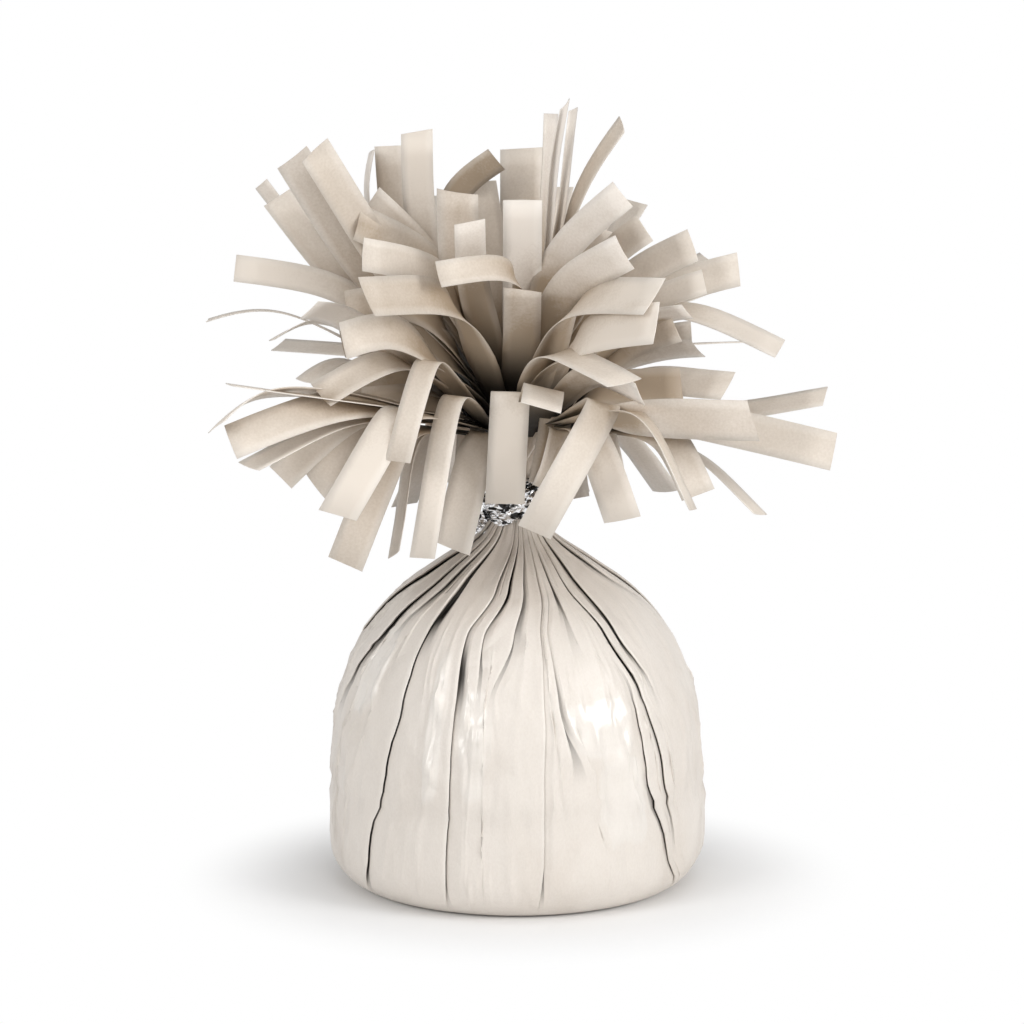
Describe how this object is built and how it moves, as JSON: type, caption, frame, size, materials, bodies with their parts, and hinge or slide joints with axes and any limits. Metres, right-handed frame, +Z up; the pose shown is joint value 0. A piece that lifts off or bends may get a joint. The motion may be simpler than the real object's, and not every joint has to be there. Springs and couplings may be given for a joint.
{
  "type": "balloon weight",
  "caption": "Film-wrapped balloon weight: a rounded pleated body on a flat base, tied at the neck with foil, under a flared plume of cut film strips.",
  "frame": {"origin": "centre of the flat underside that stands on the table", "axes": "+Z up through the neck and plume, -Y towards the picture's viewer, +X to the viewer's right"},
  "size_m": [0.1068, 0.0908, 0.1365],
  "materials": {
    "wrap_film": "pearl gloss",
    "fringe_film": "pearl satin",
    "tie_foil": "mirror, crinkled",
    "tie_wire": "bright drawn",
    "tub_plastic": "moulded",
    "sand": "loose grains"
  },
  "bodies": {
    "base": {"ballast_tub": "tub_plastic", "sand_fill": "sand", "tub_lid": "tub_plastic", "outer_wrap": "wrap_film", "neck_gather": "wrap_film"},
    "tie": {"tie_foil": "tie_foil", "tie_wire": "tie_wire"},
    "plume": {"fringe_gather": "fringe_film", "fringe_sheet_01": "fringe_film", "fringe_sheet_02": "fringe_film", "fringe_sheet_03": "fringe_film", "fringe_sheet_04": "fringe_film", "fringe_sheet_05": "fringe_film", "fringe_sheet_06": "fringe_film", "fringe_sheet_07": "fringe_film", "fringe_sheet_08": "fringe_film", "fringe_sheet_09": "fringe_film", "fringe_sheet_10": "fringe_film", "fringe_sheet_11": "fringe_film", "fringe_sheet_12": "fringe_film"}
  },
  "joints": [
    {"name": "neck_lean_front", "type": "hinge", "parent": "base", "child": "tie", "pos_m": [0, 0, 0.06697], "axis": [1, 0, 0], "range_deg": [-12, 12], "stiffness_Nm_per_rad": 0.02},
    {"name": "neck_lean_side", "type": "hinge", "parent": "tie", "child": "plume", "pos_m": [0, 0, 0.06697], "axis": [0, 1, 0], "range_deg": [-12, 12], "stiffness_Nm_per_rad": 0.02}
  ]
}
